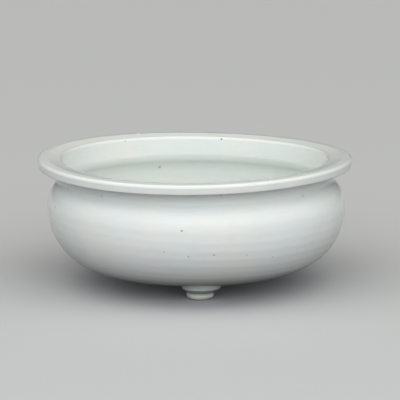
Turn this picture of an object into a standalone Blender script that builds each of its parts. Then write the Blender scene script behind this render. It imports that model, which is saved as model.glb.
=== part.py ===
# Tripod porcelain bowl, in metres, +Z up.
# The origin is the middle of the circle that the three feet stand on, and one foot points to -Y.
# The bowl is made as a potter makes it: thrown sections and turned feet, luted together with slip.
# A luted seam is a gap of SLIP_GAP, where the slip lies.

import math

import bmesh
import bpy

# Heights of a foot, stacked from the table up
KNOB_HALF_HEIGHT = 0.0030
GROOVE_RISE = 0.0018
PAD_FLARE_RISE = 0.0031
PAD_SIDE_HEIGHT = 0.0039

# Heights of the bowl, stacked from its underside up
BELLY_RISE = 0.0451
SHOULDER_RISE = 0.0166
NECK_HEIGHT = 0.0108
RIM_THICKNESS = 0.0067

# Radii of the bowl: the mouth, what is added to it going outwards, and the flat base
MOUTH_RADIUS = 0.0922
NECK_WALL = 0.0037
RIM_OVERHANG = 0.0141
BELLY_BULGE = 0.0085
BASE_RADIUS = 0.0606

# Walls and the shapes of edges
BELLY_WALL = 0.0052
FLOOR_THICKNESS = 0.0068
SHOULDER_TUCK = 0.0076
NECK_FILLET = 0.0060
RIM_FLAT = 0.0046
DISH_DROP = 0.0012
LIP_REACH = 0.0026
LIP_DROP = 0.0024
RIM_TOP_ROUNDING = 0.0017
RIM_UNDER_ROUNDING = 0.0010
RIM_EDGE_LEAN = 0.0008

# Joints of the sections
SLIP_GAP = 0.0003
BELLY_LAP = 0.0032
RIM_SEAT_DEPTH = 0.0016
FOOT_SEAT_DEPTH = 0.0010

# Widths of a foot, and how far its middle lies inside the edge of the flat base
FOOT_SETBACK = 0.0096
SOLE_RADIUS = 0.0056
KNOB_SWELL = 0.0040
GROOVE_DEPTH = 0.0003
PAD_SPREAD = 0.0038
PAD_EDGE_ROUNDING = 0.0010

# The three feet, anticlockwise from the front as seen from above
FOOT_NAMES = ("foot_front", "foot_back_right", "foot_back_left")
FRONT_DEGREES = -90.0

# Where the groove's curve starts and where the pad's flare runs into its edge, 0 being outwards and 90 up
GROOVE_FROM_DEGREES = 30.0
PAD_EDGE_FROM_DEGREES = -60.0

# Fineness of the turned forms
BODY_SEGMENTS = 84
FOOT_SEGMENTS = 36
BELLY_STEPS = 9
SHOULDER_STEPS = 6
ARC_STEPS = 4
LIP_STEPS = 6
SMALL_ARC_STEPS = 3
SHARP_FROM_DEGREES = 32.0
SAME_POINT = 1e-6
HALVINGS = 50

# The most of a wall's thickness that a rounding may take from one side
ROUNDING_SHARE = 0.48

# Worked out from the sizes above
GROOVE_Z = KNOB_HALF_HEIGHT + GROOVE_RISE
PAD_Z = GROOVE_Z + PAD_FLARE_RISE
BASE_Z = PAD_Z + PAD_SIDE_HEIGHT
BELLY_Z = BASE_Z + BELLY_RISE
NECK_Z = BELLY_Z + SHOULDER_RISE
RIM_UNDER_Z = NECK_Z + NECK_HEIGHT
RIM_TOP_Z = RIM_UNDER_Z + RIM_THICKNESS
NECK_RADIUS = MOUTH_RADIUS + NECK_WALL
RIM_RADIUS = NECK_RADIUS + RIM_OVERHANG
BELLY_RADIUS = NECK_RADIUS + BELLY_BULGE
BELLY_INNER_RADIUS = BELLY_RADIUS - BELLY_WALL
TONGUE_RADIUS = BELLY_INNER_RADIUS + (BELLY_WALL - SLIP_GAP) / 2.0
KNOB_RADIUS = SOLE_RADIUS + KNOB_SWELL
GROOVE_RADIUS = KNOB_RADIUS - GROOVE_DEPTH
PAD_RADIUS = KNOB_RADIUS + PAD_SPREAD
FOOT_CIRCLE_RADIUS = BASE_RADIUS - FOOT_SETBACK

# Colours of the fired glaze, linear, and how it shines
BODY_GLAZE = (0.74, 0.78, 0.75)
SHOULDER_GLAZE = (0.75, 0.79, 0.76)
RIM_GLAZE = (0.76, 0.79, 0.77)
FOOT_GLAZE = (0.70, 0.74, 0.71)
GLAZE_ROUGHNESS = 0.16
GLAZE_METALLIC = 0.0


def clear_scene():
    for old in list(bpy.data.objects):
        bpy.data.objects.remove(old)


def glaze(name, colour):
    material = bpy.data.materials.new(name)
    material.use_nodes = True
    shader = material.node_tree.nodes["Principled BSDF"]
    shader.inputs["Base Color"].default_value = (*colour, 1.0)
    shader.inputs["Roughness"].default_value = GLAZE_ROUGHNESS
    shader.inputs["Metallic"].default_value = GLAZE_METALLIC
    return material


def arc(centre, radii, start, end, steps):
    """Points (r, z) on an ellipse's arc. Angles are in degrees, 0 outwards and 90 up."""
    points = []
    for step in range(steps + 1):
        angle = math.radians(start + (end - start) * step / steps)
        points.append((centre[0] + radii[0] * math.cos(angle), centre[1] + radii[1] * math.sin(angle)))
    return points


def ellipse_point(centre, radii, angle):
    """A point of an ellipse and its outward normal, at an angle in degrees."""
    cosine = math.cos(math.radians(angle))
    sine = math.sin(math.radians(angle))
    point = (centre[0] + radii[0] * cosine, centre[1] + radii[1] * sine)
    slope = math.hypot(cosine / radii[0], sine / radii[1])
    return point, (cosine / radii[0] / slope, sine / radii[1] / slope)


def rounding_within(rounding, wall):
    """A rounding, held to what the wall that it is made on can give."""
    return min(rounding, ROUNDING_SHARE * wall)


def smooth_step(share):
    share = min(max(share, 0.0), 1.0)
    return share * share * (3.0 - 2.0 * share)


# The shoulder is a quarter of an ellipse, wide enough that the neck cuts it at NECK_Z.
SHOULDER_RADII = (
    BELLY_BULGE + SHOULDER_TUCK,
    SHOULDER_RISE / math.sqrt(1.0 - (SHOULDER_TUCK / (BELLY_BULGE + SHOULDER_TUCK)) ** 2),
)
SHOULDER_CENTRE = (BELLY_RADIUS - SHOULDER_RADII[0], BELLY_Z)

# The lower bowl is a quarter of another ellipse, from the widest line to the flat base.
LOWER_RADII = (BELLY_RADIUS - BASE_RADIUS, BELLY_RISE)
LOWER_CENTRE = (BASE_RADIUS, BELLY_Z)


def fillet_angle():
    """The angle on the shoulder's ellipse where the neck's fillet touches it, found by halving."""
    low, high = 0.0, 90.0
    for _ in range(HALVINGS):
        middle = (low + high) / 2.0
        point, normal = ellipse_point(SHOULDER_CENTRE, SHOULDER_RADII, middle)
        if point[0] + NECK_FILLET * normal[0] > NECK_RADIUS + NECK_FILLET:
            low = middle
        else:
            high = middle
    return (low + high) / 2.0


def wall_at(height):
    """The wall's thickness at a height: the neck's above, the belly's in the middle, the floor's below."""
    if height >= BELLY_Z:
        return BELLY_WALL + (NECK_WALL - BELLY_WALL) * smooth_step((height - BELLY_Z) / SHOULDER_RISE)
    return BELLY_WALL + (FLOOR_THICKNESS - BELLY_WALL) * smooth_step((BELLY_Z - height) / BELLY_RISE)


def inside(point, normal):
    """The point of the inner face behind a point of the outer face."""
    wall = wall_at(point[1])
    return (point[0] - wall * normal[0], point[1] - wall * normal[1])


def shoulder_faces():
    """The shoulder's outer and inner faces, both from the widest line up to the neck."""
    outer = []
    inner = []
    touch = fillet_angle()
    for step in range(SHOULDER_STEPS + 1):
        point, normal = ellipse_point(SHOULDER_CENTRE, SHOULDER_RADII, touch * step / SHOULDER_STEPS)
        outer.append(point)
        inner.append(inside(point, normal))
    touch_point, touch_normal = ellipse_point(SHOULDER_CENTRE, SHOULDER_RADII, touch)
    centre = (NECK_RADIUS + NECK_FILLET, touch_point[1] + NECK_FILLET * touch_normal[1])
    first = 180.0 + math.degrees(math.atan2(touch_normal[1], touch_normal[0]))
    for step in range(1, ARC_STEPS + 1):
        angle = math.radians(first + (180.0 - first) * step / ARC_STEPS)
        point = (centre[0] + NECK_FILLET * math.cos(angle), centre[1] + NECK_FILLET * math.sin(angle))
        outer.append(point)
        inner.append(inside(point, (-math.cos(angle), -math.sin(angle))))
    return outer, inner


def lower_faces():
    """The lower bowl's outer face, from the base up, and its inner face, from the top down."""
    outer = []
    inner = []
    for step in range(BELLY_STEPS + 1):
        point, normal = ellipse_point(LOWER_CENTRE, LOWER_RADII, -90.0 + 90.0 * step / BELLY_STEPS)
        outer.append(point)
        inner.append(inside(point, normal))
    return outer, inner[::-1]


def turned(name, outline, segments, material, closed):
    """A body turned about Z from (r, z) points: a closed outline for a ring, or one with both ends on Z."""
    mesh = bpy.data.meshes.new(name)
    form = bmesh.new()
    verts = [form.verts.new((r, 0.0, z)) for r, z in outline]
    ends = list(zip(verts, verts[1:]))
    if closed:
        ends.append((verts[-1], verts[0]))
    edges = [form.edges.new(pair) for pair in ends]
    bmesh.ops.spin(
        form,
        geom=verts + edges,
        axis=(0.0, 0.0, 1.0),
        cent=(0.0, 0.0, 0.0),
        angle=2.0 * math.pi,
        steps=segments,
        use_merge=True,
    )
    bmesh.ops.remove_doubles(form, verts=form.verts, dist=SAME_POINT)
    bmesh.ops.recalc_face_normals(form, faces=form.faces)
    form.to_mesh(mesh)
    form.free()
    mesh.shade_smooth()
    mesh.set_sharp_from_angle(angle=math.radians(SHARP_FROM_DEGREES))
    mesh.materials.append(material)
    made = bpy.data.objects.new(name, mesh)
    bpy.context.scene.collection.objects.link(made)
    return made


def make_lower_bowl():
    """The thrown lower bowl: base, floor and wall up to the widest line, with the seam's inner tongue."""
    outer, inner = lower_faces()
    outline = [(0.0, BASE_Z)]
    outline += outer
    outline.append((TONGUE_RADIUS, BELLY_Z))
    outline.append((TONGUE_RADIUS, BELLY_Z + BELLY_LAP))
    outline.append((BELLY_INNER_RADIUS, BELLY_Z + BELLY_LAP))
    outline += inner
    outline.append((0.0, BASE_Z + FLOOR_THICKNESS))
    finish = glaze("glaze_on_lower_bowl", BODY_GLAZE)
    return turned("bowl_lower", outline, BODY_SEGMENTS, finish, closed=False)


def make_shoulder():
    """The thrown shoulder and neck: the lower end laps over the tongue, the neck ends in the rim's seat."""
    outer, inner = shoulder_faces()
    lap_radius = TONGUE_RADIUS + SLIP_GAP
    lap_top = BELLY_Z + BELLY_LAP + SLIP_GAP
    neck_top = RIM_UNDER_Z + RIM_SEAT_DEPTH - SLIP_GAP
    inner = [point for point in inner if point[1] > lap_top]
    outline = [(lap_radius, BELLY_Z + SLIP_GAP)]
    outline.append((BELLY_RADIUS, BELLY_Z + SLIP_GAP))
    outline += [point for point in outer if point[1] > BELLY_Z + SLIP_GAP]
    outline.append((NECK_RADIUS, neck_top))
    outline.append((MOUTH_RADIUS, neck_top))
    outline += inner[::-1]
    outline.append((BELLY_INNER_RADIUS, lap_top))
    outline.append((lap_radius, lap_top))
    finish = glaze("glaze_on_shoulder", SHOULDER_GLAZE)
    return turned("bowl_shoulder", outline, BODY_SEGMENTS, finish, closed=True)


def make_rim():
    """The everted rim: a ring with a square edge, level at first and then falling to the mouth's rounded lip."""
    seat_radius = NECK_RADIUS + SLIP_GAP
    seat_top = RIM_UNDER_Z + RIM_SEAT_DEPTH
    lip_z = RIM_TOP_Z - DISH_DROP
    drop = rounding_within(LIP_DROP, 2.0 * (lip_z - seat_top))
    reach = rounding_within(LIP_REACH, RIM_RADIUS - MOUTH_RADIUS)
    top = rounding_within(RIM_TOP_ROUNDING, RIM_THICKNESS)
    under = rounding_within(RIM_UNDER_ROUNDING, RIM_THICKNESS)
    under_centre = (RIM_RADIUS - RIM_EDGE_LEAN - under, RIM_UNDER_Z + under)
    outline = [(MOUTH_RADIUS, seat_top), (seat_radius, seat_top), (seat_radius, RIM_UNDER_Z)]
    outline += arc(under_centre, (under, under), -90.0, 0.0, ARC_STEPS)
    outline += arc((RIM_RADIUS - top, RIM_TOP_Z - top), (top, top), 0.0, 90.0, ARC_STEPS)
    outline.append((RIM_RADIUS - top - RIM_FLAT, RIM_TOP_Z))
    outline += arc((MOUTH_RADIUS + reach, lip_z - drop), (reach, drop), 90.0, 180.0, LIP_STEPS)
    finish = glaze("glaze_on_rim", RIM_GLAZE)
    return turned("rim_flange", outline, BODY_SEGMENTS, finish, closed=True)


def foot_outline():
    """A foot from its sole up: a rounded knob, a narrow groove and a pad that spreads under the bowl."""
    top = BASE_Z + FOOT_SEAT_DEPTH - SLIP_GAP
    edge = rounding_within(PAD_EDGE_ROUNDING, PAD_SPREAD)
    outline = [(0.0, 0.0)]
    outline += arc((SOLE_RADIUS, KNOB_HALF_HEIGHT), (KNOB_SWELL, KNOB_HALF_HEIGHT), -90.0, 0.0, ARC_STEPS)
    groove = (GROOVE_DEPTH, GROOVE_RISE)
    outline += arc((GROOVE_RADIUS, KNOB_HALF_HEIGHT), groove, GROOVE_FROM_DEGREES, 90.0, SMALL_ARC_STEPS)
    outline += arc((PAD_RADIUS - edge, PAD_Z), (edge, edge), PAD_EDGE_FROM_DEGREES, 0.0, SMALL_ARC_STEPS)
    outline.append((PAD_RADIUS, top))
    outline.append((0.0, top))
    return outline


def make_feet(bowl):
    """The turned feet, each let into a shallow scored seat in the bowl's underside."""
    finish = glaze("glaze_on_feet", FOOT_GLAZE)
    seat_radius = PAD_RADIUS + SLIP_GAP
    seat_outline = [
        (0.0, BASE_Z - FOOT_SEAT_DEPTH),
        (seat_radius, BASE_Z - FOOT_SEAT_DEPTH),
        (seat_radius, BASE_Z + FOOT_SEAT_DEPTH),
        (0.0, BASE_Z + FOOT_SEAT_DEPTH),
    ]
    for index, name in enumerate(FOOT_NAMES):
        angle = math.radians(FRONT_DEGREES + 360.0 * index / len(FOOT_NAMES))
        place = (FOOT_CIRCLE_RADIUS * math.cos(angle), FOOT_CIRCLE_RADIUS * math.sin(angle), 0.0)
        foot = turned(name, foot_outline(), FOOT_SEGMENTS, finish, closed=False)
        foot.location = place
        foot.rotation_euler = (0.0, 0.0, angle)
        foot.parent = bowl
        seat = turned("seat_cutter_" + name, seat_outline, FOOT_SEGMENTS, finish, closed=False)
        seat.location = place
        seat.rotation_euler = (0.0, 0.0, angle)
        seat.parent = bowl
        seat.hide_render = True
        seat.display_type = "WIRE"
        cut = bowl.modifiers.new("seat_" + name, "BOOLEAN")
        cut.operation = "DIFFERENCE"
        cut.solver = "EXACT"
        cut.object = seat


clear_scene()
lower_bowl = make_lower_bowl()
shoulder = make_shoulder()
shoulder.parent = lower_bowl
rim = make_rim()
rim.parent = lower_bowl
make_feet(lower_bowl)
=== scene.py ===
import math

import bmesh
import bpy
import numpy as np
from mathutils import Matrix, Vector
from mathutils.bvhtree import BVHTree


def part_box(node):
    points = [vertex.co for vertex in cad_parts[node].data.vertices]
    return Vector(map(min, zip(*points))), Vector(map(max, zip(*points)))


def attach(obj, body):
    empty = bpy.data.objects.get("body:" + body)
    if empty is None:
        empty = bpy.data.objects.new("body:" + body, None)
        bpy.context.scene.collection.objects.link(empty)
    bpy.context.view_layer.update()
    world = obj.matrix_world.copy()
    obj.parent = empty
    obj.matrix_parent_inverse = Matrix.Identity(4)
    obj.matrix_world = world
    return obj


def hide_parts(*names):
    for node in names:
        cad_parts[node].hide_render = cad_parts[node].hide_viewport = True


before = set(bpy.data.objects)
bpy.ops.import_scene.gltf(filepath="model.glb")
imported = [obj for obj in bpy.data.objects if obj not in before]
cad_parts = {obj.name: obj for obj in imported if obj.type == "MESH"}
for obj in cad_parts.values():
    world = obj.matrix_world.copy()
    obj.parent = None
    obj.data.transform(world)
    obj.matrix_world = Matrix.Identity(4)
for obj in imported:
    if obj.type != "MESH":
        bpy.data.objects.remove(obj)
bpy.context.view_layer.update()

# Looks of the white tripod bowl. Sizes in the dictionaries are millimetres unless a note says otherwise.
mm = 0.001
scene = bpy.context.scene
print("frame loaded:", ", ".join(sorted(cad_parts)))


def addObject(name, data):
    made = bpy.data.objects.new(name, data)
    scene.collection.objects.link(made)
    return made


# Helpers for node trees: a value is a number, a tuple or another node's socket

def fill(tree, sockets, values):
    for socket, value in zip(sockets, values):
        if isinstance(value, bpy.types.NodeSocket):
            tree.links.new(value, socket)
        else:
            socket.default_value = value


def addNode(tree, kind, settings=None, **values):
    node = tree.nodes.new(kind)
    for name, value in (settings or {}).items():
        setattr(node, name, value)
    names = [name.replace("_", " ") for name in values]
    fill(tree, [node.inputs[name] for name in names], values.values())
    return node


def calc(tree, operation, *values):
    node = addNode(tree, "ShaderNodeMath", {"operation": operation})
    fill(tree, node.inputs, values)
    return node.outputs[0]


def times(tree, *values):
    product = values[0]
    for value in values[1:]:
        product = calc(tree, "MULTIPLY", product, value)
    return product


def calcVector(tree, operation, *values):
    node = addNode(tree, "ShaderNodeVectorMath", {"operation": operation})
    if operation == "SCALE":
        fill(tree, (node.inputs[0], node.inputs["Scale"]), values)
    else:
        fill(tree, node.inputs, values)
    return node.outputs["Value" if operation in ("LENGTH", "DOT_PRODUCT") else "Vector"]


def ramp(tree, value, low, high, toLow=0.0, toHigh=1.0):
    node = addNode(tree, "ShaderNodeMapRange", {"interpolation_type": "SMOOTHSTEP"})
    fill(tree, node.inputs, (value, low, high, toLow, toHigh))
    return node.outputs[0]


def blend(tree, share, first, second):
    node = addNode(tree, "ShaderNodeMix", {"data_type": "RGBA"})
    fill(tree, (node.inputs[0], node.inputs[6], node.inputs[7]), (share, first, second))
    return node.outputs[2]


def opaque(colour):
    return (*colour, 1.0)


def splitPlace(tree, place):
    return addNode(tree, "ShaderNodeSeparateXYZ", Vector=place).outputs


# Helpers for Geometry Nodes

inputKinds = {
    "geometry": "NodeSocketGeometry",
    "count": "NodeSocketInt",
    "length": "NodeSocketFloat",
    "object": "NodeSocketObject",
    "material": "NodeSocketMaterial",
}


def newTree(name, inputs):
    tree = bpy.data.node_groups.new(name, "GeometryNodeTree")
    tree.is_modifier = True
    for kind, labels in inputs.items():
        for label in labels:
            tree.interface.new_socket(label, in_out="INPUT", socket_type=inputKinds[kind])
    tree.interface.new_socket("Geometry", in_out="OUTPUT", socket_type="NodeSocketGeometry")
    return tree, tree.nodes.new("NodeGroupInput").outputs


def readAttribute(tree, name, kind="FLOAT"):
    return addNode(tree, "GeometryNodeInputNamedAttribute", {"data_type": kind}, Name=name).outputs[0]


def keepAttribute(tree, geometry, name, value, kind="FLOAT"):
    settings = {"data_type": kind, "domain": "POINT"}
    values = {"Geometry": geometry, "Name": name, "Value": value}
    return addNode(tree, "GeometryNodeStoreNamedAttribute", settings, **values).outputs[0]


def sampleAt(tree, geometry, value, index, kind="FLOAT"):
    settings = {"data_type": kind, "domain": "POINT"}
    values = {"Geometry": geometry, "Value": value, "Index": index}
    return addNode(tree, "GeometryNodeSampleIndex", settings, **values).outputs[0]


def randomBetween(tree, low, high, seed=None):
    node = addNode(tree, "FunctionNodeRandomValue", {"data_type": "FLOAT"})
    fill(tree, (node.inputs[2], node.inputs[3]), (low, high))
    if seed is not None:
        fill(tree, (node.inputs["Seed"],), (seed,))
    return node.outputs[1]


def seededNoise(tree, place, seed, scale):
    values = {"Vector": place, "W": seed, "Scale": scale, "Detail": 1.0}
    return addNode(tree, "ShaderNodeTexNoise", {"noise_dimensions": "4D"}, **values).outputs[0]


# A hand's unevenness, as a length inwards and outwards
def unevenness(tree, place, seed, size, depth, middle):
    bumps = seededNoise(tree, place, seed, calc(tree, "DIVIDE", 1.0, size))
    return times(tree, calc(tree, "SUBTRACT", bumps, middle), times(tree, depth, 2.0))


def movePoints(tree, geometry, offset):
    return addNode(tree, "GeometryNodeSetPosition", Geometry=geometry, Offset=offset).outputs[0]


def endTree(tree, geometry, material):
    real = addNode(tree, "GeometryNodeRealizeInstances", Geometry=geometry)
    smooth = addNode(tree, "GeometryNodeSetShadeSmooth", Geometry=real.outputs[0])
    coated = addNode(tree, "GeometryNodeSetMaterial", Geometry=smooth.outputs[0], Material=material)
    out = tree.nodes.new("NodeGroupOutput")
    tree.links.new(coated.outputs[0], out.inputs[0])


# A form's lengths in metres, under the labels that a tree gives them: "Pad Lift" is padLift
def lengthsOf(form, *labels):
    return {label: form[label[0].lower() + label[1:].replace(" ", "")] * mm for label in labels}


# Runs a tree on a mesh and returns the plain mesh object that comes out
def runTree(tree, name, mesh, values):
    source = addObject(name + "_source", mesh)
    modifier = source.modifiers.new(tree.name, "NODES")
    modifier.node_group = tree
    for item in tree.interface.items_tree:
        if item.in_out == "INPUT" and item.name in values:
            modifier[item.identifier] = values[item.name]
    bpy.context.view_layer.update()
    evaluated = source.evaluated_get(bpy.context.evaluated_depsgraph_get())
    made = bpy.data.meshes.new_from_object(evaluated)
    source.modifiers.remove(modifier)
    bpy.data.objects.remove(source)
    made.name = name
    return addObject(name, made)


# The camera, at the photo's viewing angle. Pixels are counted in a picture 400 wide.
view = {
    "distance": 1600.0,          # from the lens to the middle of the rim
    "middleHeight": 89.2,        # of the rim's middle, above the floor
    "lookDown": 9.92,            # degrees below level, towards the middle of the rim
    "turn": 4.1,                 # degrees that the camera stands to the left of the front foot
    "focal": 2286.5,             # pixels
    "picture": 400.0,            # pixels
    "rimMiddle": (194.65, 157.07),   # pixel where the middle of the rim lies
    "sensor": 36.0,              # millimetres wide
    "farthest": 50.0,            # metres
}


def placeCamera():
    target = Vector((0.0, 0.0, view["middleHeight"] * mm))
    down, turn = math.radians(view["lookDown"]), math.radians(view["turn"])
    towards = Vector((math.sin(turn) * math.cos(down), math.cos(turn) * math.cos(down), -math.sin(down)))
    half = view["picture"] / 2.0
    aside = math.atan((half - view["rimMiddle"][0]) / view["focal"])
    below = math.atan((half - view["rimMiddle"][1]) / view["focal"])
    data = bpy.data.cameras.new("camera")
    data.sensor_width = view["sensor"]
    data.lens = view["sensor"] * view["focal"] / view["picture"]
    data.clip_end = view["farthest"]
    camera = addObject("camera", data)
    camera.location = target - towards * view["distance"] * mm
    # level look along +Y, then pitched and turned
    pitch = math.radians(90.0) - down - below
    camera.rotation_euler = (pitch, 0.0, -turn - aside)
    scene.camera = camera
    bpy.context.view_layer.update()
    return camera


camera = placeCamera()
print("camera placed")


# A ray from the camera through a pixel of the 400 px picture
def rayThrough(pixel):
    half = view["picture"] / 2.0
    across, up = (pixel[0] - half) / view["focal"], (half - pixel[1]) / view["focal"]
    towards = camera.matrix_world.to_3x3() @ Vector((across, up, -1.0))
    return camera.matrix_world.translation, towards.normalized()


# Outlines are lists of (radius, height) in metres
samePoint = 0.02 * mm          # nearer points of an outline are one
weldDistance = 0.004 * mm      # and so are nearer points of the turned mesh


def arcPoints(centre, radii, start, end, spacing):
    span = math.radians(end - start)
    steps = max(4, round(abs(span) * max(radii) / spacing))
    angles = [math.radians(start) + span * step / steps for step in range(steps + 1)]
    return [(centre[0] + radii[0] * math.cos(a), centre[1] + radii[1] * math.sin(a)) for a in angles]


def linePoints(start, end, spacing):
    steps = max(1, round(math.dist(start, end) / spacing))
    across, up = end[0] - start[0], end[1] - start[1]
    return [(start[0] + across * step / steps, start[1] + up * step / steps) for step in range(steps + 1)]


# Leaves out points that repeat the one before
def tidyOutline(points):
    kept = [points[0]]
    for point in points[1:]:
        if math.dist(point, kept[-1]) > samePoint:
            kept.append(point)
    return kept


def smoothStep(share):
    share = min(max(share, 0.0), 1.0)
    return share * share * (3.0 - 2.0 * share)


# The turned body. The frame's boxes give the heights and the widest radii, this gives the rest.
bowlForm = {
    "baseRadius": 60.6,
    "neckRadius": 95.9,
    "neckWall": 3.7,
    "bellyWall": 5.2,
    "floorWall": 6.8,
    "shoulderTuck": 7.6,       # how far the shoulder's ellipse reaches in under the neck
    "shoulderRise": 16.6,
    "neckFillet": 6.0,
    "rimFlat": 4.6,            # level part of the rim, inwards from its rounded edge
    "dishDrop": 1.2,           # the rest falls by this much towards the mouth
    "lipReach": 2.6,           # the mouth's edge
    "lipDrop": 2.4,
    "lipFrom": 82.0,           # degrees
    "edgeRounding": 2.2,
    "underRounding": 1.1,
    "edgeLean": 0.45,          # how far the edge falls back towards its foot
    "glazeRoll": 1.3,          # glaze gathered in the corner under the rim
    "slipGap": 0.3,
    "bellyLap": 3.2,           # the lower bowl reaches up inside the shoulder by this much
    "rimSeat": 1.6,            # and the rim's ring down over the neck
    "spacing": 0.9,            # between points of the outline
    "segments": 320,
    "fullness": 2.1,           # of the belly below its widest line: 2 is a plain ellipse
    "foldReach": 1.5,          # how wide an edge or hollow counts for the glaze's depth
    "foldScale": 0.22,
}


def bodyOutline():
    form = {name: value * mm for name, value in bowlForm.items()}
    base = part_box("bowl_lower")[0].z
    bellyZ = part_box("bowl_shoulder")[0].z - form["slipGap"]
    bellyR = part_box("bowl_shoulder")[1].x
    underZ, rimR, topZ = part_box("rim_flange")[0].z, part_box("rim_flange")[1].x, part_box("rim_flange")[1].z
    baseR, neckR, step = form["baseRadius"], form["neckRadius"], form["spacing"]
    mouthR = neckR - form["neckWall"]

    lowerCentre, lowerRadii = (baseR, bellyZ), (bellyR - baseR, bellyZ - base)
    tuck = form["shoulderTuck"]
    wide = bellyR - neckR + tuck
    shoulderRadii = (wide, form["shoulderRise"] / math.sqrt(1.0 - (tuck / wide) ** 2))
    shoulderCentre = (bellyR - wide, bellyZ)

    # where the neck's fillet touches the shoulder's ellipse
    def ellipseNormal(radii, angle):
        across, up = math.cos(angle) / radii[0], math.sin(angle) / radii[1]
        size = math.hypot(across, up)
        return across / size, up / size

    fillet = form["neckFillet"]
    low, high = 0.0, math.pi / 2.0
    for halving in range(40):
        middle = (low + high) / 2.0
        reach = shoulderCentre[0] + shoulderRadii[0] * math.cos(middle)
        reach += fillet * ellipseNormal(shoulderRadii, middle)[0]
        low, high = (middle, high) if reach > neckR + fillet else (low, middle)
    touchNormal = ellipseNormal(shoulderRadii, low)
    touchZ = shoulderCentre[1] + shoulderRadii[1] * math.sin(low)
    filletCentre = (neckR + fillet, touchZ + fillet * touchNormal[1])
    filletStart = 180.0 + math.degrees(math.atan2(touchNormal[1], touchNormal[0]))

    # the belly below its widest line is a little fuller than an ellipse
    power = 2.0 / bowlForm["fullness"]
    lower = []
    for radius, height in arcPoints((0.0, 0.0), (1.0, 1.0), -90.0, 0.0, step / max(lowerRadii)):
        across, down = max(radius, 0.0) ** power, max(-height, 0.0) ** power
        lower.append((lowerCentre[0] + lowerRadii[0] * across, lowerCentre[1] - lowerRadii[1] * down))
    shoulder = arcPoints(shoulderCentre, shoulderRadii, 0.0, math.degrees(low), step)
    neck = arcPoints(filletCentre, (fillet, fillet), filletStart, 180.0, step / 2.0)
    wall = tidyOutline(lower + shoulder + neck)

    # the inner wall stands behind the outer one, by a thickness that grows towards the floor
    def wallAt(height):
        if height > bellyZ:
            share = smoothStep((height - bellyZ) / form["shoulderRise"])
            return form["bellyWall"] + (form["neckWall"] - form["bellyWall"]) * share
        share = smoothStep((bellyZ - height) / (bellyZ - base))
        return form["bellyWall"] + (form["floorWall"] - form["bellyWall"]) * share

    line = np.array(wall)
    along = np.gradient(line, axis=0)
    along /= np.linalg.norm(along, axis=1)[:, None]
    inner = []
    for (radius, height), (dr, dz) in zip(wall, along):
        paintedShade = wallAt(height)
        inner.append((radius - paintedShade * dz, height + paintedShade * dr))
    inner[0] = (baseR, base + form["floorWall"])

    roll, lip, drop = form["glazeRoll"], form["lipReach"], form["lipDrop"]
    edge, under, lean = form["edgeRounding"], form["underRounding"], form["edgeLean"]
    rimUnder = arcPoints((neckR + roll, underZ - roll), (roll, roll), 180.0, 90.0, step / 3.0)
    rimFoot = arcPoints((rimR - lean - under, underZ + under), (under, under), -90.0, 0.0, step / 4.0)
    rimEdge = arcPoints((rimR - edge, topZ - edge), (edge, edge), 0.0, 90.0, step / 4.0)
    dishR, dishZ = rimR - edge - form["rimFlat"], topZ - form["dishDrop"]
    mouth = arcPoints((mouthR + lip, dishZ - drop), (lip, drop), bowlForm["lipFrom"], 180.0, step / 3.0)

    # from the middle of the underside round to the middle of the floor, with a line from stretch to stretch
    dish, floor = [(dishR, topZ)], [(0.0, base + form["floorWall"])]
    points = [(0.0, base)]
    for stretch in (wall, rimUnder, rimFoot, rimEdge, dish, mouth, inner[::-1], floor):
        points += linePoints(points[-1], stretch[0], step) + stretch
    marks = {"base": base, "belly": bellyZ, "neck": touchZ, "rimUnder": underZ, "top": topZ, "rimR": rimR}
    return tidyOutline(points), marks


# How deep the glaze lies: above 0 in hollows, where it gathers, and below 0 on edges, where it thins. The
# tints made from it are partly painted shade, in hollows and on edges alike
def glazeDepthAndShade(points, reach, scale):
    line = np.array(points)
    along = np.concatenate([[0.0], np.cumsum(np.linalg.norm(np.diff(line, axis=0), axis=1))])
    step = 0.2 * mm                # between the places where the fold is measured
    even = np.arange(0.0, along[-1], step)
    track = np.stack([np.interp(even, along, line[:, 0]), np.interp(even, along, line[:, 1])], axis=1)
    window = max(1, round(reach * mm / step))
    padded = np.pad(track, ((window, window), (0, 0)), mode="edge")
    ahead, behind = padded[2 * window:], padded[:-2 * window]
    direction = ahead - behind
    size = np.linalg.norm(direction, axis=1)
    size[size == 0.0] = 1.0
    outward = np.stack([direction[:, 1], -direction[:, 0]], axis=1) / size[:, None]
    fold = (((ahead + behind) / 2.0 - track) * outward).sum(axis=1) / (reach * mm)
    spread = 3 * window            # how far the bell that smooths the fold reaches
    width = np.arange(-spread, spread + 1) / window
    bell = np.exp(-width * width)
    fold = np.convolve(np.pad(fold, spread, mode="edge"), bell / bell.sum(), mode="valid")
    return np.clip(np.interp(along, even, fold) / scale, -1.0, 1.0), along


def writeNumbers(mesh, label, numbers):
    attribute = mesh.attributes.new(label, "FLOAT", "POINT")
    attribute.data.foreach_set("value", np.array(numbers, np.float32))


# The outline as a thin line mesh with what the wheel needs to know at each point
def outlineMesh(name, points, values):
    mesh = bpy.data.meshes.new(name)
    edges = [(i, i + 1) for i in range(len(points) - 1)]
    mesh.from_pydata([(r, 0.0, z) for r, z in points], edges, [])
    for label, numbers in values.items():
        writeNumbers(mesh, label, numbers)
    return mesh


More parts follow.
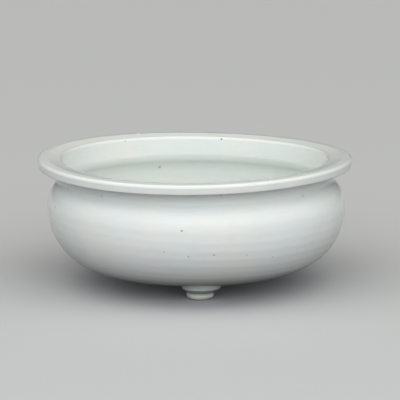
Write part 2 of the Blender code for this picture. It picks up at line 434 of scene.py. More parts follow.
# Turns an outline on the wheel: a grid whose columns are the outline, wrapped round and closed
def latheGroup(tree, outline, segments, labels):
    count = addNode(tree, "GeometryNodeAttributeDomainSize", Geometry=outline).outputs["Point Count"]
    columns = calc(tree, "ADD", segments, 1.0)
    grid = addNode(tree, "GeometryNodeMeshGrid", Size_X=1.0, Size_Y=1.0, Vertices_X=columns, Vertices_Y=count)
    index = addNode(tree, "GeometryNodeInputIndex").outputs[0]
    column = calc(tree, "FLOOR", calc(tree, "DIVIDE", calc(tree, "ADD", index, 0.5), count))
    row = calc(tree, "SUBTRACT", index, times(tree, column, count))
    angle = times(tree, calc(tree, "DIVIDE", column, segments), math.tau)
    place = addNode(tree, "GeometryNodeInputPosition").outputs[0]
    point = splitPlace(tree, sampleAt(tree, outline, place, row, "FLOAT_VECTOR"))
    radius, height = point[0], point[2]
    across = times(tree, radius, calc(tree, "COSINE", angle))
    deep = times(tree, radius, calc(tree, "SINE", angle))
    geometry = grid.outputs["Mesh"]
    for label in labels:
        value = sampleAt(tree, outline, readAttribute(tree, label), row)
        geometry = keepAttribute(tree, geometry, label, value)
    wrapped = addNode(tree, "ShaderNodeCombineXYZ", X=across, Y=deep, Z=height).outputs[0]
    geometry = addNode(tree, "GeometryNodeSetPosition", Geometry=geometry, Position=wrapped).outputs[0]
    closed = addNode(tree, "GeometryNodeMergeByDistance", Geometry=geometry, Distance=weldDistance).outputs[0]
    parts = splitPlace(tree, place)
    return keepAttribute(tree, closed, "turn", calc(tree, "ARCTAN2", parts[1], parts[0]))


# The thrown skin: throwing lines, a hand's unevenness, a slight warp from the kiln and the belly's lean
throwing = {
    "lineDepth": 0.036,
    "linePitch": 6.3,
    "lineDrift": 14.0,     # changes to a metre in how the lines wander and fade
    "lineWander": 9.0,     # radians
    # from and to which noise, and from and to which share of their depth
    "lineFades": (0.38, 0.66, 0.25, 1.0),
    "bareUnderRim": 3.0,   # no lines this far below the rim
    "fadeUnderRim": 8.0,   # and they come in over this height
    "bareBase": 1.0,       # the same at the trimmed base
    "fadeBase": 6.0,
    "insideMore": 1.6,     # the lines inside, against those outside
    "uneven": 0.10,
    "unevenSize": 46.0,
    "unevenMiddle": 0.5,
    "lean": 1.1,           # the belly sits this far to the right of the rim's middle
    "warp": 2.0,           # how far the rim dips between its two high sides
    "warpTurn": 153.0,     # degrees from +X to a high side
    "outOfRound": 0.25,
    "seed": 7,
    "seedStep": 3.7,
}


def thrownSkinTree():
    tree, given = newTree("thrown skin", {
        "geometry": ["Outline"],
        "count": ["Segments", "Seed"],
        "length": ["Line Depth", "Line Pitch", "Uneven", "Uneven Size", "Lean", "Warp", "Warp Turn",
                   "Out Of Round", "Base", "Shoulder", "Rim", "Rim Radius"],
        "material": ["Glaze"],
    })
    skin = latheGroup(tree, given["Outline"], given["Segments"], ("gathered", "thrown", "along", "section"))
    turn, along, thrown = (readAttribute(tree, name) for name in ("turn", "along", "thrown"))
    place = addNode(tree, "GeometryNodeInputPosition").outputs[0]
    normal = addNode(tree, "GeometryNodeInputNormal").outputs[0]

    # throwing lines wind up the wall as a spiral, one finger mark to a pitch, and fade in and out
    climb = calc(tree, "DIVIDE", along, given["Line Pitch"])
    phase = calc(tree, "ADD", times(tree, climb, math.tau), turn)
    seed = times(tree, given["Seed"], throwing["seedStep"])
    drift = seededNoise(tree, place, seed, throwing["lineDrift"])
    wandering = calc(tree, "ADD", phase, times(tree, drift, throwing["lineWander"]))
    strength = times(tree, given["Line Depth"], ramp(tree, drift, *throwing["lineFades"]))
    line = times(tree, calc(tree, "SINE", wandering), strength, thrown)

    swell = unevenness(tree, place, seed, given["Uneven Size"], given["Uneven"], throwing["unevenMiddle"])
    push = calcVector(tree, "SCALE", normal, calc(tree, "ADD", line, times(tree, swell, thrown)))
    skin = movePoints(tree, skin, push)

    # in the kiln the rim dipped on two sides like a saddle, and the belly leans out from under it
    parts = splitPlace(tree, place)
    high = ramp(tree, parts[2], given["Shoulder"], given["Rim"])
    level = calcVector(tree, "MULTIPLY", place, (1.0, 1.0, 0.0))
    reach = calc(tree, "DIVIDE", calcVector(tree, "LENGTH", level), given["Rim Radius"])
    away = times(tree, calc(tree, "SUBTRACT", turn, given["Warp Turn"]), 2.0)
    dip = times(tree, calc(tree, "SUBTRACT", calc(tree, "COSINE", away), 1.0), 0.5)
    drop = times(tree, dip, given["Warp"], times(tree, reach, reach), high)
    raised = ramp(tree, parts[2], given["Base"], times(tree, given["Base"], 2.0))
    shift = times(tree, given["Lean"], calc(tree, "SUBTRACT", 1.0, high), raised)
    twice = calc(tree, "COSINE", times(tree, turn, 2.0))
    squeeze = times(tree, calc(tree, "SUBTRACT", twice, 1.0), times(tree, given["Out Of Round"], reach))
    outward = calcVector(tree, "NORMALIZE", level)
    squeezed = calcVector(tree, "SCALE", outward, times(tree, squeeze, 0.5))
    moved = addNode(tree, "ShaderNodeCombineXYZ", X=shift, Y=0.0, Z=drop).outputs[0]
    moved = calcVector(tree, "ADD", moved, squeezed)
    skin = movePoints(tree, skin, moved)
    endTree(tree, skin, given["Glaze"])
    return tree


# Specks of iron in the glaze: those that the photo shows, by pixel, and a thin scatter elsewhere
specks = {
    "seen": [                  # pixel, width in mm, darkness
        ((55.2, 207.0), 1.2, 0.85), ((181.8, 231.0), 1.4, 0.85), ((163.8, 252.0), 1.3, 0.4),
        ((188.3, 256.6), 1.2, 0.6), ((213.9, 255.0), 1.3, 0.65), ((246.8, 255.0), 1.1, 0.55),
        ((84.2, 250.0), 1.2, 0.4), ((272.8, 257.0), 1.1, 0.35), ((221.5, 139.2), 1.5, 0.9),
        ((159.7, 167.0), 2.6, 0.42), ((125.4, 141.4), 1.8, 0.3), ((68.0, 188.0), 3.0, 0.2),
        ((101.6, 196.0), 3.0, 0.16), ((302.8, 196.0), 2.8, 0.14), ((221.5, 194.8), 1.9, 0.3),
    ],
    "seenWithin": 2.0,         # a point is seen if the camera's ray lands this near it
    "perSquareMetre": 420.0,
    "smallest": 0.3,
    "largest": 0.8,
    "palest": 0.25,
    "darkest": 0.8,
    "seed": 11,
}


def specksTree():
    tree, given = newTree("specks in the glaze", {
        "geometry": ["Skin"],
        "object": ["Seen Specks"],
        "length": ["Density", "Smallest", "Largest"],
        "count": ["Seed"],
        "material": ["Glaze"],
    })
    seen = addNode(tree, "GeometryNodeObjectInfo", Object=given["Seen Specks"]).outputs["Geometry"]
    place = addNode(tree, "GeometryNodeInputPosition").outputs[0]
    # the scatter keeps to what the photo doesn't show
    density = times(tree, given["Density"], readAttribute(tree, "unseen"))
    values = {"Mesh": given["Skin"], "Density": density, "Seed": given["Seed"]}
    scatter = addNode(tree, "GeometryNodeDistributePointsOnFaces", **values).outputs[0]
    width = randomBetween(tree, given["Smallest"], given["Largest"], given["Seed"])
    dark = randomBetween(tree, specks["palest"], specks["darkest"])
    scatter = keepAttribute(tree, scatter, "width", width)
    scatter = keepAttribute(tree, scatter, "dark", dark)
    seenPoints = addNode(tree, "GeometryNodeMeshToPoints", Mesh=seen).outputs[0]
    join = tree.nodes.new("GeometryNodeJoinGeometry")
    tree.links.new(scatter, join.inputs[0])
    tree.links.new(seenPoints, join.inputs[0])
    points = join.outputs[0]

    # every place in the glaze knows its nearest speck
    nearest = addNode(tree, "GeometryNodeSampleNearest", {"domain": "POINT"}, Geometry=points).outputs[0]
    centre = sampleAt(tree, points, place, nearest, "FLOAT_VECTOR")
    toSpeck = calcVector(tree, "SUBTRACT", centre, place)
    skin = keepAttribute(tree, given["Skin"], "toSpeck", toSpeck, "FLOAT_VECTOR")
    for label, kept in (("width", "speckWidth"), ("dark", "speckDark")):
        skin = keepAttribute(tree, skin, kept, sampleAt(tree, points, readAttribute(tree, label), nearest))
    endTree(tree, skin, given["Glaze"])
    return tree


# The fired glaze. Colours are linear. A "From" pair says where a pattern or depth begins and is full.
glazeLook = {
    "cool": (0.715, 0.750, 0.734),
    "warm": (0.743, 0.752, 0.718),
    "warmFrom": (0.36, 0.68),
    "gathered": (0.600, 0.668, 0.596),  # the green of deep glaze in hollows, also laid on as painted shade there and low on the bowl
    "gatheredFrom": (0.05, 1.0),
    "gatheredShare": 0.6,
    "gatheredAndShadeUneven": 0.35,
    "paintedShade": (0.290, 0.340, 0.280),     # painted shade: the dark green over the foot's groove, on the whole foot and on the bowl's underside
    "paintedShadeFrom": (0.05, 1.0),
    "paintedShadeShare": 0.95,
    "footShare": 0.3,                   # a whole foot is painted this far towards that dark shade
    "underside": (24.0, 13.0),          # heights between which the underside is painted dark with shade, full at the second
    "undersideShare": 0.9,
    "lowShadeHeight": 36.0,               # below this height the glaze is painted darker and greener towards the base: painted shade
    "lowShade": 0.85,
    "thinAndShade": (0.676, 0.692, 0.670),      # a little greyer where the glaze is thin on edges, and painted shade that holds down the light on the lip and edges
    "thinAndShadeFrom": (-0.5, -0.95),
    "thinAndShadeShare": 0.9,
    "mistFrom": (0.56, 0.74),           # small pale green clouds in the glaze
    "mistShare": 0.05,
    "fleck": 13.0,                      # length of the flecks
    "fleckDraw": 5.0,                   # and their length to their height
    "fleckFrom": (0.42, 0.72),
    "fleckShare": 0.2,
    "fleckDetail": 3.0,
    "roughness": (0.10, 0.18),
    "roughFrom": (0.3, 0.7),
    "shine": 0.18,                      # 0.5 is window glass
    "refraction": 1.5,
    "rippleDepth": 0.012,
    "peelDepth": 0.0016,
    "iron": (0.060, 0.050, 0.040),      # of the specks
    "ironFrom": (0.62, 0.18),           # shares of a speck's width
    "ironRagged": 0.35,
    "ironLeast": 0.05,                  # narrower specks are taken as this wide
    "ironPit": 0.02,
    "body": (0.900, 0.890, 0.860),      # where a nick has broken through the glaze
    "bodyRough": 0.5,
    "bare": (0.640, 0.575, 0.500),      # fired clay where the foot was wiped
    "bareRagged": 0.5,
    "bareFade": 0.18,
    "bareRough": 0.6,
    "bareGrain": 0.12,
    "bareShade": 0.8,                   # its darker grains
    "grainFrom": (0.35, 0.7),
    "burntRise": 0.5,                   # the glaze is thin and burnt this far above it
    "burntShare": 0.25,
    # size, detail, and how far a pattern is moved away so that no two are alike
    "patterns": {
        "warm": (34.0, 2.0, 0.0),
        "gathered": (7.0, 2.0, 3.0),
        "mist": (1.1, 3.0, 5.0),
        "rough": (16.0, 3.0, 9.0),
        "ripple": (9.0, 1.0, 2.0),      # slight waviness
        "peel": (1.6, 1.0, 4.0),        # orange peel
        "iron": (0.7, 2.0, 6.0),
        "bare": (2.2, 3.0, 7.0),
        "grain": (0.5, 4.0, 1.0),
    },
}


def glazeMaterial(name, deep, wiped=None):
    look = glazeLook
    material = bpy.data.materials.new(name)
    material.use_nodes = True
    tree = material.node_tree
    shader = tree.nodes["Principled BSDF"]
    place = addNode(tree, "ShaderNodeTexCoord").outputs["Object"]
    heightAt = splitPlace(tree, place)[2]

    def noise(at, size, detail):
        values = {"Vector": at, "Scale": 1.0 / (size * mm), "Detail": detail}
        return addNode(tree, "ShaderNodeTexNoise", **values).outputs[0]

    def pattern(label):
        size, detail, aside = look["patterns"][label]
        return noise(calcVector(tree, "ADD", place, (aside, 0.3 * aside, -0.7 * aside)), size, detail)

    # a pattern that goes as far below nothing as above it
    def sway(label, depth):
        return times(tree, calc(tree, "SUBTRACT", pattern(label), 0.5), depth)

    def carried(label, output="Fac"):
        return addNode(tree, "ShaderNodeAttribute", {"attribute_name": label}).outputs[output]

    def colour(label):
        return opaque(look[label])

    # slow changes of tone; deeper green in hollows and greyer thin glaze on edges, both partly painted shade
    tone = blend(tree, ramp(tree, pattern("warm"), *look["warmFrom"]), colour("cool"), colour("warm"))
    depth = calc(tree, "ADD", carried("gathered"), sway("gathered", look["gatheredAndShadeUneven"]))
    # the glaze ran round with the wheel marks: flecks that are longer than they are high
    drawn = calcVector(tree, "MULTIPLY", place, (1.0, 1.0, look["fleckDraw"]))
    fleck = noise(drawn, look["fleck"], look["fleckDetail"])
    # the deep tint lays painted shade in hollows, low on the bowl and over the foot, and the thin tint
    # darkens edges against their light
    layers = (
        (depth, deep, deep),
        (depth, "thinAndShade", "thinAndShade"),
        (pattern("mist"), "mist", "gathered"),
        (fleck, "fleck", deep),
    )
    for value, label, tint in layers:
        amount = ramp(tree, value, *look[label + "From"], 0.0, look[label + "Share"])
        tone = blend(tree, amount, tone, colour(tint))
    rough = ramp(tree, pattern("rough"), *look["roughFrom"], *look["roughness"])
    ripple = times(tree, pattern("ripple"), look["rippleDepth"] * mm)
    peel = times(tree, pattern("peel"), look["peelDepth"] * mm)
    height = calc(tree, "ADD", ripple, peel)

    if wiped is None:
        # each speck is a soft dot with a ragged edge, in a tiny pit
        far = calcVector(tree, "LENGTH", carried("toSpeck", "Vector"))
        far = calc(tree, "ADD", far, sway("iron", look["ironRagged"] * mm))
        width = calc(tree, "MAXIMUM", carried("speckWidth"), look["ironLeast"] * mm)
        share = calc(tree, "DIVIDE", far, width)
        spot = ramp(tree, share, *look["ironFrom"])
        tone = blend(tree, times(tree, spot, carried("speckDark")), tone, colour("iron"))
        height = calc(tree, "SUBTRACT", height, times(tree, spot, look["ironPit"] * mm))
        # painted shade: the glaze turns dark green on the underside, towards the base
        lowFrom, lowFull = look["underside"]
        low = ramp(tree, heightAt, lowFrom * mm, lowFull * mm, 0.0, look["undersideShare"])
        tone = blend(tree, low, tone, colour("paintedShade"))
        chipped = carried("chipped")
        tone = blend(tree, chipped, tone, colour("body"))
        rough = calc(tree, "ADD", rough, times(tree, chipped, look["bodyRough"]))
    else:
        # the sole was wiped clean and stands bare, with a ragged edge of glaze above it
        edge = calc(tree, "ADD", heightAt, sway("bare", look["bareRagged"] * mm))
        bare = ramp(tree, edge, wiped * mm, (wiped - look["bareFade"]) * mm)
        # painted shade: the whole foot is darkened a little
        tone = blend(tree, look["footShare"], tone, colour("paintedShade"))
        burnt = ramp(tree, edge, (wiped + look["burntRise"]) * mm, wiped * mm, 0.0, look["burntShare"])
        tone = blend(tree, burnt, tone, colour("bare"))
        grain = pattern("grain")
        shaded = opaque(look["bareShade"] * value for value in look["bare"])
        clay = blend(tree, ramp(tree, grain, *look["grainFrom"]), colour("bare"), shaded)
        tone = blend(tree, bare, tone, clay)
        rough = calc(tree, "ADD", rough, times(tree, bare, look["bareRough"]))
        grit = times(tree, grain, bare, look["bareGrain"] * mm)
        height = calc(tree, "ADD", height, grit)

    bump = addNode(tree, "ShaderNodeBump", Strength=1.0, Distance=1.0, Height=height)
    tree.links.new(tone, shader.inputs["Base Color"])
    tree.links.new(rough, shader.inputs["Roughness"])
    tree.links.new(bump.outputs[0], shader.inputs["Normal"])
    shader.inputs["IOR"].default_value = look["refraction"]
    shader.inputs["Specular IOR Level"].default_value = look["shine"]
    return material


glaze = glazeMaterial("white_glaze", "gathered")
footGlaze = glazeMaterial("foot_white_glaze", "paintedShade", wiped=0.45)
print("glazes mixed")


# Which thrown section a height belongs to: 0 the lower bowl, 1 the shoulder and neck, 2 the rim
def sectionOf(height, inside, marks):
    hair = 0.01 * mm
    if height < marks["belly"] + (bowlForm["bellyLap"] * mm if inside else 0.0):
        return 0
    if height < marks["rimUnder"] + (bowlForm["rimSeat"] * mm if inside else -hair):
        return 1
    return 2


# How strongly the throwing lines show at a height: not at the rim or at the trimmed base, and more inside
def thrownAt(height, inside, marks):
    underRim = marks["rimUnder"] - throwing["bareUnderRim"] * mm - height
    strength = smoothStep(underRim / (throwing["fadeUnderRim"] * mm))
    if inside:
        return strength * throwing["insideMore"]
    aboveBase = height - marks["base"] - throwing["bareBase"] * mm
    return strength * smoothStep(aboveBase / (throwing["fadeBase"] * mm))


def makeSkin():
    points, marks = bodyOutline()
    depth, along = glazeDepthAndShade(points, bowlForm["foldReach"], bowlForm["foldScale"])
    topIndex = max(range(len(points)), key=lambda i: points[i][1])
    thrown, section = [], []
    lowShadeHeight = glazeLook["lowShadeHeight"] * mm
    for i, (radius, height) in enumerate(points):
        inside = i > topIndex
        # painted shade: darker and greener glaze towards the base
        depth[i] += glazeLook["lowShade"] * smoothStep((lowShadeHeight - height) / (lowShadeHeight - marks["base"]))
        thrown.append(thrownAt(height, inside, marks))
        section.append(float(sectionOf(height, inside, marks)))
    values = {"gathered": depth, "thrown": thrown, "along": along, "section": section}
    mesh = outlineMesh("bowl_outline", points, values)
    lengths = lengthsOf(
        throwing, "Line Depth", "Line Pitch", "Uneven", "Uneven Size", "Lean", "Warp", "Out Of Round")
    skin = runTree(thrownSkinTree(), "skin", mesh, lengths | {
        "Segments": bowlForm["segments"],
        "Warp Turn": math.radians(throwing["warpTurn"]),
        "Base": marks["base"],
        "Shoulder": (marks["belly"] + marks["neck"]) / 2.0,
        "Rim": marks["rimUnder"],
        "Rim Radius": marks["rimR"],
        "Seed": throwing["seed"],
        "Glaze": glaze,
    })
    print("skin thrown:", len(skin.data.vertices), "points")
    return skin, marks


skin, marks = makeSkin()


# The far edge of the rim has a shallow dent under the glaze and beside it two nicks through to the white body
nicks = {
    # degrees from +X, width of the ball, its middle inwards from the edge and above the top, glaze broken
    "scoops": [
        (110.9, 12.0, 0.0, 5.45, 0.0),
        (108.8, 3.0, 2.4, 0.40, 1.0),
        (109.8, 1.9, 6.4, 0.3, 1.0),
    ],
    "edgeBand": 3.0,           # the rim's top is looked for this far inwards from the edge
    "margin": 0.6,             # the skin is divided finely this far round a scoop
    "fine": 0.25,
    "downwards": 2.0,          # a scoop pushes this many times as far down as inwards
}


def nickRim(skin):
    fine, margin = nicks["fine"] * mm, nicks["margin"] * mm
    form = bmesh.new()
    form.from_mesh(skin.data)
    chipped = form.verts.layers.float.new("chipped")
    upper = [v for v in form.verts if v.co.z > marks["rimUnder"]]
    scoops = []
    for turn, width, inFromEdge, aboveTop, broken in nicks["scoops"]:
        outward = Vector((math.cos(math.radians(turn)), math.sin(math.radians(turn)), 0.0))
        top = max(v.co.z for v in upper if v.co.dot(outward) > marks["rimR"] - nicks["edgeBand"] * mm)
        centre = outward * (marks["rimR"] - inFromEdge * mm) + Vector((0.0, 0.0, top + aboveTop * mm))
        into = (Vector((0.0, 0.0, -nicks["downwards"])) - outward).normalized()
        scoops.append((centre, width * mm / 2.0, into, broken))
    near = {v for v in upper if any((v.co - scoop[0]).length < scoop[1] + margin for scoop in scoops)}
    coarse = [e for e in form.edges if near.intersection(e.verts) and e.calc_length() > 2.0 * fine]
    cuts = round(max(e.calc_length() for e in coarse) / fine)
    bmesh.ops.subdivide_edges(form, edges=coarse, cuts=cuts, use_grid_fill=True)
    for centre, radius, into, broken in scoops:
        for vertex in form.verts:
            offset = vertex.co - centre
            inside = radius * radius - offset.length_squared
            if inside > 0.0:
                along = offset.dot(into)
                vertex.co += into * (math.sqrt(along * along + inside) - along)
                vertex[chipped] = max(vertex[chipped], broken)
    form.normal_update()
    form.to_mesh(skin.data)
    form.free()
    skin.data.shade_smooth()


nickRim(skin)
print("rim nicked")


# Marks the stretch of skin that the photo shows, then puts its specks where their pixels fall
def speckSkin(skin):
    mesh = skin.data
    tree = BVHTree.FromObject(skin, bpy.context.evaluated_depsgraph_get())
    eye = camera.matrix_world.translation
    unseen = np.ones(len(mesh.vertices), np.float32)
    for vertex in mesh.vertices:
        towards = vertex.co - eye
        hit = tree.ray_cast(eye, towards.normalized())
        if hit[0] is not None and (hit[0] - vertex.co).length < specks["seenWithin"] * mm:
            unseen[vertex.index] = 0.0
    writeNumbers(mesh, "unseen", unseen)

    spots = []
    for pixel, width, dark in specks["seen"]:
        hit = tree.ray_cast(*rayThrough(pixel))
        if hit[0] is None:
            print("no surface under the speck at", pixel)
            continue
        spots.append((hit[0], width * mm, dark))
    cloud = bpy.data.meshes.new("seen_specks")
    cloud.from_pydata([spot[0] for spot in spots], [], [])
    writeNumbers(cloud, "width", [spot[1] for spot in spots])
    writeNumbers(cloud, "dark", [spot[2] for spot in spots])
    seen = addObject("seen_specks", cloud)
    speckled = runTree(specksTree(), "skin_speckled", mesh, lengthsOf(specks, "Smallest", "Largest") | {
        "Seen Specks": seen,
        "Density": specks["perSquareMetre"],
        "Seed": specks["seed"],
        "Glaze": glaze,
    })
    bpy.data.objects.remove(seen)
    bpy.data.objects.remove(skin)
    print("specks set:", len(spots), "seen in the photo")
    return speckled


skin = speckSkin(skin)


seamBands = {"belly": (40.0, 70.0), "rim": (75.0, 95.0)}     # heights between which a seam's open edges lie


# Cuts the skin into the sections that were thrown apart, closing each along its luted seam.
# Every section keeps the whole skin's normals, so that no seam shows in the glaze.
def cutSection(skin, name, number, seams):
    form = bmesh.new()
    form.from_mesh(skin.data)
    form.verts.ensure_lookup_table()
    sectionLayer = form.verts.layers.float["section"]
    normalLayer = form.verts.layers.float_vector.new("firedNormal")
    for vertex in form.verts:
        vertex[normalLayer] = vertex.normal
    gone = [f for f in form.faces if round(min(v[sectionLayer] for v in f.verts)) != number]
    bmesh.ops.delete(form, geom=gone, context="FACES")
    openEdges = [e for e in form.edges if e.is_boundary]
    old = set(form.faces)
    for seam in seams:
        low, high = (height * mm for height in seamBands[seam])
        loops = [e for e in openEdges if low < sum(v.co.z for v in e.verts) / 2.0 < high]
        bmesh.ops.bridge_loops(form, edges=loops)
    bmesh.ops.recalc_face_normals(form, faces=[f for f in form.faces if f not in old])
    form.verts.index_update()
    form.faces.index_update()
    closing = [f.index for f in form.faces if f not in old]
    form.normal_update()
    normals = np.array([v[normalLayer] for v in form.verts], np.float32)
    mesh = bpy.data.meshes.new(name)
    form.to_mesh(mesh)
    form.free()
    mesh.materials.append(glaze)
    mesh.shade_smooth()
    perCorner = normals[np.array([loop.vertex_index for loop in mesh.loops])]
    for index in closing:
        face = mesh.polygons[index]
        for corner in face.loop_indices:
            perCorner[corner] = face.normal
    mesh.normals_split_custom_set(perCorner)
    return addObject(name, mesh)


lowerBowl = cutSection(skin, "lower_bowl", 0, ["belly"])
shoulder = cutSection(skin, "shoulder_and_neck", 1, ["belly", "rim"])
rim = cutSection(skin, "flat_rim", 2, ["rim"])
bpy.data.objects.remove(skin)
print("sections cut:", [len(piece.data.polygons) for piece in (lowerBowl, shoulder, rim)])

for piece, node, slotName in (
    (lowerBowl, "bowl_lower", "body_glaze"),
    (shoulder, "bowl_shoulder", "body_glaze"),
    (rim, "rim_flange", "rim_glaze"),
):
    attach(piece, "root")
    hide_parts(node)


# The feet: a knob, a groove and a pad that spreads under the bowl, turned and then luted on by hand
footForm = {
    "sole": 5.6,
    "knobSwell": 4.0,
    "knobHalf": 3.0,
    "grooveDepth": 0.35,
    "grooveRise": 1.8,
    "grooveFrom": 25.0,        # degrees
    "flareRise": 3.2,
    "flareSpread": 3.8,
    "padEdge": 1.1,
    "padFrom": -60.0,          # degrees
    "padReach": 13.0,          # from the foot's middle to where the lift is full
    "padLift": 0.9,            # the pad's edge was pressed up by this much on its outer side
    "padShift": 0.9,           # and this much to the right, as seen from outside
    "sunk": 0.6,               # into its scored seat
    "grooveShadeHeight": 6.4,         # middle of the band of painted shadow over the groove, under the pad
    "grooveShadeRise": 1.9,
    "lowShadeShare": 0.3,        # of the bowl's low painted shade that the foot takes too
    "foldReach": 0.8,
    "foldScale": 0.2,
    "spacing": 0.3,
    "segments": 96,
    "uneven": 0.16,
    "unevenSize": 7.0,
    "unevenMiddle": 0.62,      # more is taken off than added
    "trueSole": 1.2,           # the unevenness comes in over this height above the sole
    "seedStep": 5.3,
}


def footOutline(base, padR):
    form = {name: value * mm for name, value in footForm.items()}
    step, knobR = form["spacing"], padR - form["flareSpread"]
    grooveR = knobR - form["grooveDepth"]
    grooveZ = form["knobHalf"] + form["grooveRise"]
    edge = form["padEdge"]
    padCentre = (padR - edge, grooveZ + form["flareRise"])
    knobRadii, grooveRadii = (form["knobSwell"], form["knobHalf"]), (form["grooveDepth"], form["grooveRise"])
    points = linePoints((0.0, 0.0), (form["sole"], 0.0), step)
    points += arcPoints((form["sole"], form["knobHalf"]), knobRadii, -90.0, 0.0, step)
    points += arcPoints((grooveR, form["knobHalf"]), grooveRadii, footForm["grooveFrom"], 90.0, step)
    flare = arcPoints(padCentre, (edge, edge), footForm["padFrom"], 0.0, step / 2.0)
    points += linePoints(points[-1], flare[0], step)
    points += flare
    points += linePoints(points[-1], (padR, base + form["sunk"]), step)
    points += linePoints((padR, base + form["sunk"]), (0.0, base + form["sunk"]), step * 2.0)
    return tidyOutline(points), grooveZ, padCentre[1]


def turnedFootTree():
    tree, given = newTree("turned foot", {
        "geometry": ["Outline"],
        "count": ["Segments", "Seed"],
        "length": ["Uneven", "Uneven Size", "Groove", "Pad", "Base", "Pad Lift", "Pad Shift",
                   "Out X", "Out Y", "Circle"],
        "material": ["Glaze"],
    })
    foot = latheGroup(tree, given["Outline"], given["Segments"], ("gathered",))
    place = addNode(tree, "GeometryNodeInputPosition").outputs[0]
    normal = addNode(tree, "GeometryNodeInputNormal").outputs[0]
    seed = times(tree, given["Seed"], footForm["seedStep"])
    swell = unevenness(tree, place, seed, given["Uneven Size"], given["Uneven"], footForm["unevenMiddle"])
    height = splitPlace(tree, place)[2]
    above = ramp(tree, height, 0.0, footForm["trueSole"] * mm)
    below = ramp(tree, height, given["Base"], given["Pad"])
    push = calcVector(tree, "SCALE", normal, times(tree, swell, times(tree, above, below)))
    foot = movePoints(tree, foot, push)

    # the thumb that luted the foot pressed the pad's edge up and aside
    out = addNode(tree, "ShaderNodeCombineXYZ", X=given["Out X"], Y=given["Out Y"], Z=0.0).outputs[0]
    side = calcVector(tree, "CROSS_PRODUCT", (0.0, 0.0, 1.0), out)
    pad = ramp(tree, height, given["Groove"], given["Pad"])
    share = calc(tree, "DIVIDE", calcVector(tree, "DOT_PRODUCT", place, out), footForm["padReach"] * mm)
    lift = times(tree, share, given["Pad Lift"], times(tree, pad, below))
    lifted = addNode(tree, "ShaderNodeCombineXYZ", X=0.0, Y=0.0, Z=lift).outputs[0]
    shifted = calcVector(tree, "SCALE", side, times(tree, pad, given["Pad Shift"]))
    moved = calcVector(tree, "ADD", lifted, shifted)
    moved = calcVector(tree, "ADD", moved, calcVector(tree, "SCALE", out, given["Circle"]))
    foot = movePoints(tree, foot, moved)
    endTree(tree, foot, given["Glaze"])
    return tree


footTree = turnedFootTree()
feet = (
    ("front_foot", "foot_front"),
    ("back_right_foot", "foot_back_right"),
    ("back_left_foot", "foot_back_left"),
)
for seed, (name, node) in enumerate(feet):
    low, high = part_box(node)
    middle = ((low + high) / 2.0).to_2d()
    points, groove, pad = footOutline(marks["base"], (high.y - low.y) / 2.0)
    depth = glazeDepthAndShade(points, footForm["foldReach"], footForm["foldScale"])[0]
    # painted shade on the foot: part of the bowl's low shade, and a band of painted shadow over the groove
    depth += footForm["lowShadeShare"] * glazeLook["lowShade"]
    grooveShade = [(height / mm - footForm["grooveShadeHeight"]) / footForm["grooveShadeRise"] for radius, height in points]
    depth += [math.exp(-(away ** 2)) for away in grooveShade]
    lengths = lengthsOf(footForm, "Uneven", "Uneven Size", "Pad Lift", "Pad Shift")
    foot = runTree(footTree, name, outlineMesh(name + "_outline", points, {"gathered": depth}), lengths | {
        "Segments": footForm["segments"],
        "Groove": groove,
        "Pad": pad,
        "Base": marks["base"],
        "Out X": middle.normalized().x,
        "Out Y": middle.normalized().y,
        "Circle": middle.length,
        "Seed": seed,
        "Glaze": footGlaze,
    })
    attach(foot, "root")
    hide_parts(node)
print("feet turned")


# Floor, lamps and world. The bowl stands in a tent of lit cloth that is open behind it.
# Azimuths are degrees to the right of the camera's side, elevations are above the horizon.
studio = {
    "floorSize": 12.0,                     # metres
    "floorColour": (0.50, 0.505, 0.51),
    "floorBounce": (0.050, 0.050, 0.050),  # what the floor gives back to the bowl
    "floorRoughness": 0.9,
    "floorShine": 0.1,
    "cloth": 1.45,                         # radiance of the tent's cloth
    "clothEnds": (-0.68, 0.22),            # cosines from the camera's side, between which the cloth ends
    # sines of the height above the horizon, and the cloth's share of light at the first and at the second
    "hem": (0.0, 0.20, 0.45, 1.0),         # dimmer near the table
    "crown": (0.7, 1.0, 1.0, 1.2),         # brighter overhead
    "frontTint": (0.988, 1.0, 1.034),      # of the lamps and of the cloth in front
    "topTint": (1.0, 0.995, 0.92),         # of the cloth overhead
    "topFrom": (0.45, 0.95),
    # azimuth, elevation, distance, width and height in metres, radiance
    "lamps": [
        ("front_scrim", 2.0, 16.0, 1.1, 1.5, 0.75, 1.21),
        ("left_strip", -20.0, 33.0, 1.35, 0.44, 0.18, 0.7),
        ("right_strip", 17.0, 33.0, 1.35, 0.55, 0.18, 0.4),
    ],
}


def fromCamera(azimuth, elevation):
    around = math.radians(azimuth - view["turn"])
    up = math.radians(elevation)
    return Vector((math.sin(around) * math.cos(up), -math.cos(around) * math.cos(up), math.sin(up)))


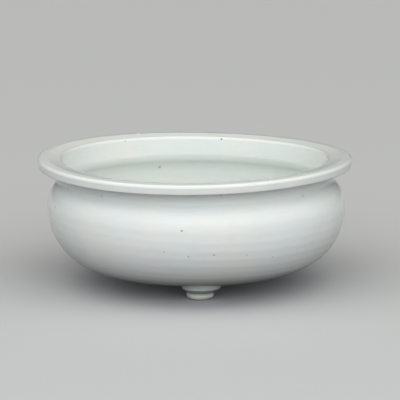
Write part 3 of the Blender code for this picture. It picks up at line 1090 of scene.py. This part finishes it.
def addFloor():
    half = studio["floorSize"] / 2.0
    corners = [(-half, -half, 0.0), (half, -half, 0.0), (half, half, 0.0), (-half, half, 0.0)]
    mesh = bpy.data.meshes.new("floor")
    mesh.from_pydata(corners, [], [(0, 1, 2, 3)])
    material = bpy.data.materials.new("floor_paint")
    material.use_nodes = True
    tree = material.node_tree
    shader = tree.nodes["Principled BSDF"]
    path = addNode(tree, "ShaderNodeLightPath").outputs
    mirrored = calc(tree, "MAXIMUM", path["Is Glossy Ray"], path["Is Transmission Ray"])
    seen = calc(tree, "MAXIMUM", path["Is Camera Ray"], mirrored)
    paint = blend(tree, seen, opaque(studio["floorBounce"]), opaque(studio["floorColour"]))
    tree.links.new(paint, shader.inputs["Base Color"])
    shader.inputs["Roughness"].default_value = studio["floorRoughness"]
    shader.inputs["Specular IOR Level"].default_value = studio["floorShine"]
    mesh.materials.append(material)
    addObject("floor", mesh)


def addLamps():
    target = Vector((0.0, 0.0, (marks["base"] + marks["top"]) / 2.0))
    for name, azimuth, elevation, distance, width, height, radiance in studio["lamps"]:
        towards = fromCamera(azimuth, elevation)
        data = bpy.data.lights.new(name, "AREA")
        data.shape = "RECTANGLE"
        data.size, data.size_y = width, height
        data.energy = radiance * math.pi * width * height
        data.color = studio["frontTint"]
        lamp = addObject(name, data)
        lamp.location = target + towards * distance
        lamp.rotation_euler = (-towards).to_track_quat("-Z", "Y").to_euler()


def addTent():
    world = bpy.data.worlds.new("light_tent")
    world.use_nodes = True
    tree = world.node_tree
    towards = addNode(tree, "ShaderNodeTexCoord").outputs["Generated"]

    front, up = (calcVector(tree, "DOT_PRODUCT", towards, fromCamera(0.0, lift)) for lift in (0.0, 90.0))
    hem, crown = ramp(tree, up, *studio["hem"]), ramp(tree, up, *studio["crown"])
    cloth = times(tree, ramp(tree, front, *studio["clothEnds"]), studio["cloth"], hem, crown)
    top = ramp(tree, up, *studio["topFrom"])
    tint = blend(tree, top, opaque(studio["frontTint"]), opaque(studio["topTint"]))
    background = tree.nodes["Background"]
    tree.links.new(tint, background.inputs["Color"])
    tree.links.new(cloth, background.inputs["Strength"])
    scene.world = world
    scene.view_settings.view_transform = "Standard"


addFloor()
addLamps()
addTent()
print("studio lit")
